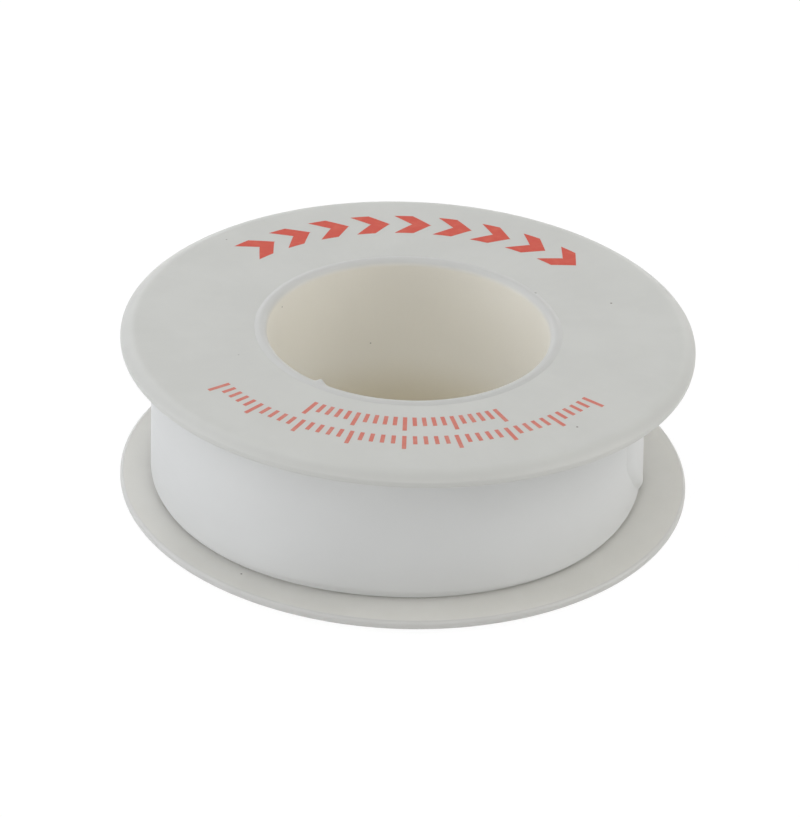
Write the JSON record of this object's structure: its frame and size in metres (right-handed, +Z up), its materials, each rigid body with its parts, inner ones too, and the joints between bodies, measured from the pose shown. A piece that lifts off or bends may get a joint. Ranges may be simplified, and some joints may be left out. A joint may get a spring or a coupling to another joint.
{
  "type": "thread seal tape roll",
  "caption": "Roll of thin white thread seal tape wound on a flanged two-part plastic spool with a wide open hub, its torn end lifting from the roll so that it can be drawn off.",
  "frame": {"origin": "centre of the face that the spool stands on, on the spool's axis", "axes": "+Z up along the spool's axis, -Y towards the viewer of the picture, +X to the viewer's right"},
  "size_m": [0.05, 0.05, 0.0159],
  "materials": {
    "natural_plastic": "milky, unpigmented, satin as moulded",
    "film": "white film, smooth and slightly waxy"
  },
  "bodies": {
    "spool": {"spool_body": "natural_plastic", "top_flange": "natural_plastic"},
    "winding": {"tape_core": "film", "tape_outer_turn": "film"},
    "tail": {"tape_tail": "film"}
  },
  "joints": [
    {"name": "unwind", "type": "hinge", "parent": "spool", "child": "winding", "pos_m": [0, 0, 0.0077], "axis": [0, 0, -1], "continuous": true},
    {"name": "tail_peel", "type": "hinge", "parent": "winding", "child": "tail", "pos_m": [0.02013, 0.0056, 0.0077], "axis": [0, 0, 1], "range_deg": [0, 120]}
  ]
}
